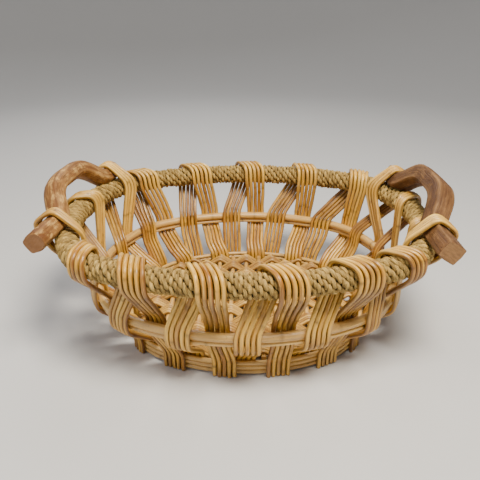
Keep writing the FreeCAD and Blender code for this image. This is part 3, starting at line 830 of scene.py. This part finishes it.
def hoopPath(oval, z, wander, seed):
    count = int(oval.length / hoop["step"])
    angles = [oval.angleAt(oval.length * k / count) for k in range(count)]
    turn = np.arange(count) * 2 * math.pi / count
    draw = random.Random(seed)
    out, lift = np.zeros(count), np.zeros(count)
    for times in hoop["waves"]:      # whole waves, so that the hoop closes
        out += np.sin(turn * times + draw.uniform(0, anyPhase)) / math.sqrt(times)
        lift += np.sin(turn * times + draw.uniform(0, anyPhase)) / math.sqrt(times)
    path = np.array([oval.at(angle, z) for angle in angles])
    outs = np.array([outwardAt(angle) for angle in angles])
    return path + outs * (out * wander / 3)[:, None] + upward * (lift * wander / 3)[:, None]


def hoopRod(pile, oval, z, radius, wander, seed):
    path = hoopPath(oval, z, wander, seed)
    along = lengths(path)
    draw = random.Random(seed)
    knots = knotsAlong(along, draw, hoop["knots"])
    uneven = waver(along, hoop["uneven"], seed) * np.sin(along / along[-1] * math.pi)
    radii = radius * (1 + hoop["swell"] * knots) * (1 + uneven)
    pile.rod(path, radii, draw.uniform(0.2, 0.8), sides=hoop["sides"], closed=True, knots=knots, seed=seed)


thinHoop = Oval(*waist.size[:3], (thinLow.z + thinHigh.z) / 2)
for name, oval, radius, node, seed in (("hoop_waist", waist, waistR, "waist_hoop", 11),
                                       ("hoop_waist_thin", thinHoop, thinR, "waist_hoop_thin", 12)):
    pile = Pile()
    hoopRod(pile, oval, oval.z, radius, hoop["wander"], seed)
    pile.piece(name, stickWillow, "willow_stick", node)
pile = Pile()
footPitch = (footHigh.z - footLow.z - 2 * stickR) / 2
for k in range(3):
    hoopRod(pile, foot, foot.z + k * footPitch, stickR, hoop["stickWander"], 20 + k)
pile.piece("hoop_foot", stickWillow, "willow_stick", "foot_hoop")
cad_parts["rim_core_hoop"].data.materials.clear()
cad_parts["rim_core_hoop"].data.materials.append(stickWillow)
print("hoops made")


rope = {"cords": 7, "lead": 58 * mm, "cordR": 3.3 * mm, "plyR": 1.95 * mm, "plyOff": 1.55 * mm,
        "twist": 12.5 * mm, "step": 1.45 * mm, "loose": 0.5 * mm, "bedR": 8.2 * mm, "sides": 8,
        "waves": (13, 29, 47), "swayWaves": (17, 31, 53), "sway": 0.07, "place": 0.06, "paceWaves": 61,
        "pace": 0.5, "plump": 0.09, "lumps": 0.06, "lumpWaves": 211, "bedSides": 20}


def ropeRim():
    pile = Pile()
    turns = round(rim.length / rope["lead"])
    cordAt = ropeR - rope["cordR"]
    perTurn = math.hypot(rim.length / turns, 2 * math.pi * cordAt)
    total = perTurn * turns
    count = int(total / rope["step"])
    share = np.arange(count) / count
    angles = np.array([rim.angleAt(rim.length * s) for s in share])
    middle = np.array([rim.at(angle) for angle in angles])
    out = np.stack((np.cos(angles), np.sin(angles), 0 * angles), axis=1)
    twists = round(total / rope["twist"])
    for cord in range(rope["cords"]):
        draw = random.Random(200 + cord)
        start = fullTurn * cord / rope["cords"] + draw.uniform(-rope["place"], rope["place"])
        wander = sum(np.sin(fullTurn * (share * times + draw.random())) for times in rope["waves"]) / 3
        sway = sum(np.sin(fullTurn * (share * times + draw.random())) for times in rope["swayWaves"]) / 3
        around = start - fullTurn * turns * share + rope["sway"] * sway
        radius = cordAt + rope["loose"] * wander
        line = middle + (out * np.cos(around)[:, None] + upward * np.sin(around)[:, None]) * radius[:, None]
        ahead, side, cross = frames(line, True)
        outside = out * np.cos(around)[:, None] + upward * np.sin(around)[:, None]
        outside -= ahead * (outside * ahead).sum(axis=1)[:, None]
        outside /= np.linalg.norm(outside, axis=1)[:, None]
        beside = np.cross(ahead, outside)
        uneven = np.sin(fullTurn * (share * rope["paceWaves"] + draw.random()))
        pace = fullTurn * twists * share + rope["pace"] * uneven
        for ply in (0, 1):
            turn = pace + math.pi * ply + draw.uniform(0, 0.5)
            shift = outside * np.cos(turn)[:, None] + beside * np.sin(turn)[:, None]
            path = line + shift * rope["plyOff"]
            # painted light: a ply is paler where it turns outward and darker where it turns into the rope
            depth = 0.55 + 0.45 * np.cos(turn)
            lumps = np.sin(fullTurn * (share * rope["lumpWaves"] + draw.random()))
            plump = 1 + rope["plump"] * wander + rope["lumps"] * lumps
            pile.rod(path, rope["plyR"] * plump, draw.uniform(0.1, 1.0), sides=rope["sides"], closed=True,
                     seed=cord * 2 + ply, depth=depth)
    bed = middle[::3]      # a dark bed of painted shade closes the gaps between the cords
    pile.rod(bed, np.full(len(bed), rope["bedR"]), 0.1, sides=rope["bedSides"], closed=True, seed=99,
             depth=np.zeros(len(bed)))
    pile.piece("rope_rim", grassRope, "grass_rope", "rim_rope")


ropeRim()
print("rope made")


floor = {"spoke": 6 * mm, "spokePitch": 18.5 * mm, "eachSide": 6, "rod": 4.8 * mm, "rodPitch": 5 * mm,
         "inBand": 4, "bands": 12, "gap": 0.1 * mm, "edgeGap": 1.2 * mm, "wander": 0.35 * mm,
         "step": 1.6 * mm, "knots": (0.05, 0.12), "swell": 0.05, "uneven": 0.03,
         "shown": 0.93,      # share of a woven rod's thickness that shows, as its bark has shrunk
         "kink": 0.97}      # how sharply a rod turns over a spoke, up to 1
floorR = floor["rod"] / 2
floorZ = tuckZ + rodR + floor["gap"] + floor["spoke"] / 2 + floor["gap"] + floor["rod"]
floorEdge = foot.grown(-besideFoot - rodR - floor["edgeGap"])


def spokes():
    pile = Pile()
    for k in range(-floor["eachSide"], floor["eachSide"] + 1):
        draw = random.Random(300 + k)
        x = k * floor["spokePitch"]
        half = halfAcross(floorEdge, abs(x) + floor["spoke"] / 2, 1)
        path = evenly(np.array(((x, -half, floorZ), (x, half, floorZ))), 3 * mm)
        along = lengths(path)
        path[:, 0] += waver(along, floor["wander"] * 2, 310 + k)
        knots = knotsAlong(along, draw)
        radii = floor["spoke"] / 2 * (1 + floor["swell"] * knots)
        radii = radii * (1 + waver(along, floor["uneven"], 330 + k))
        pile.rod(path, radii, draw.uniform(0.1, 0.6), knots=knots, seed=300 + k)
    pile.piece("floor_spoke_rods", stickWillow, "willow_stick", "floor_spokes")


def weavers(index):
    pile = Pile()
    side = 1 if index % 2 else -1
    pitch = floor["spokePitch"]
    for k in range(floor["inBand"]):
        draw = random.Random(400 + index * 10 + k)
        y = (index * floor["inBand"] + k - (floor["bands"] * floor["inBand"] - 1) / 2) * floor["rodPitch"]
        reach = halfAcross(floorEdge, abs(y) + floorR, 0)
        x = np.linspace(-reach, reach, int(2 * reach / floor["step"]))
        hug = floor["spoke"] / 2 + floor["gap"] + floorR
        zigzag = np.arcsin(floor["kink"] * np.cos(np.pi * x / pitch)) / math.asin(floor["kink"])
        path = np.stack((x, np.full(len(x), y), floorZ + side * hug * zigzag), axis=1)
        along = lengths(path)
        path[:, 1] += waver(along, floor["wander"], 500 + index * 10 + k)
        path[:, 2] += waver(along, floor["wander"], 700 + index * 10 + k)
        knots = knotsAlong(along, draw, floor["knots"])
        radii = floorR * floor["shown"] * (1 + floor["swell"] * knots)
        radii = radii * (1 + waver(along, floor["uneven"], 900 + index * 10 + k))
        # the floor rods get painted shade on their sides that face the next rods
        across = np.tile((0.0, 1.0, 0.0), (len(path), 1))
        pile.rod(path, radii, draw.uniform(0.0, 1.0), knots=knots, seed=40 + index * 4 + k, beside=across)
    pile.piece(f"floor_weave_{index + 1:02d}", floorWillow, "floor_willow", f"floor_weavers_{index + 1:02d}")


spokes()
for index in range(floor["bands"]):
    weavers(index)
print("floor made")


stage = {"floor": (0.62, 0.62, 0.63), "flat": 1.6, "curve": 1.3, "sides": 96, "rings": 16,
         "world": (0.93, 0.95, 1.0), "worldLight": 0.22, "aim": (0, 0, 0.08),
         "lights": (("key", (0.25, -0.5, 1.25), 0.5, 34.0, (1.0, 0.92, 0.77)),
                    ("fill", (-1.1, -0.7, 0.8), 0.9, 5.5, (0.97, 0.98, 1.0)),
                    ("back", (-0.3, 1.1, 1.2), 0.6, 9.0, (1.0, 0.98, 0.95)))}
camera = {"place": (0.0, -0.5914, 0.3584), "tilt": 64.0, "lens": 40.7, "shiftX": -0.0125, "shiftY": 0.0396}


def paleFloor():
    finish = Finish("pale_floor", 0.2)
    where = finish.add("ShaderNodeNewGeometry", {}, {}, "Position")
    cloud = finish.noise(where, 3.0, 3.0)
    fine = finish.noise(where, 220.0, 2.0)
    low = [c * 0.97 for c in stage["floor"]]
    colour = finish.blend(cloud, low, stage["floor"])
    return finish.finishWith(colour, finish.span(fine, 0.3, 0.7, 0.75, 0.85), fine, 0.1 * mm)


def setStage():
    sides = stage["sides"]
    profile = [(0.001, 0.0)]      # a flat floor that curves up into a wall all round
    profile += [(stage["flat"] * share, 0.0) for share in (0.25, 0.5, 1)]
    profile += [(stage["flat"] + stage["curve"] * math.sin(turn), stage["curve"] * (1 - math.cos(turn)))
                for turn in np.linspace(0.1, math.pi / 2, stage["rings"])]
    points = [(r * math.cos(fullTurn * k / sides), r * math.sin(fullTurn * k / sides), z)
              for r, z in profile for k in range(sides)]
    faces = [(ring + k, ring + (k + 1) % sides, ring + sides + (k + 1) % sides, ring + sides + k)
             for ring in range(0, (len(profile) - 1) * sides, sides) for k in range(sides)]
    mesh = bpy.data.meshes.new("ground")
    mesh.from_pydata(points, [], faces)
    mesh.flip_normals()
    mesh.polygons.foreach_set("use_smooth", [True] * len(faces))
    mesh.materials.append(paleFloor())
    ground = bpy.data.objects.new("ground", mesh)
    bpy.context.scene.collection.objects.link(ground)
    world = bpy.data.worlds.new("soft")
    world.use_nodes = True
    world.node_tree.nodes["Background"].inputs[0].default_value = (*stage["world"], 1)
    world.node_tree.nodes["Background"].inputs[1].default_value = stage["worldLight"]
    bpy.context.scene.world = world
    for name, where, size, power, colour in stage["lights"]:
        light = bpy.data.lights.new(name, "AREA")
        light.size, light.energy, light.color = size, power, colour
        lamp = bpy.data.objects.new(name, light)
        lamp.location = where
        away = np.array(where) - stage["aim"]
        lamp.rotation_euler = (math.acos(away[2] / np.linalg.norm(away)), 0, math.atan2(away[0], -away[1]))
        bpy.context.scene.collection.objects.link(lamp)
    lens = bpy.data.cameras.new("camera")
    lens.lens, lens.shift_x, lens.shift_y = camera["lens"], camera["shiftX"], camera["shiftY"]
    eye = bpy.data.objects.new("camera", lens)
    eye.location = camera["place"]
    eye.rotation_euler = (math.radians(camera["tilt"]), 0, 0)
    bpy.context.scene.collection.objects.link(eye)
    bpy.context.scene.camera = eye


setStage()
print("stage set")
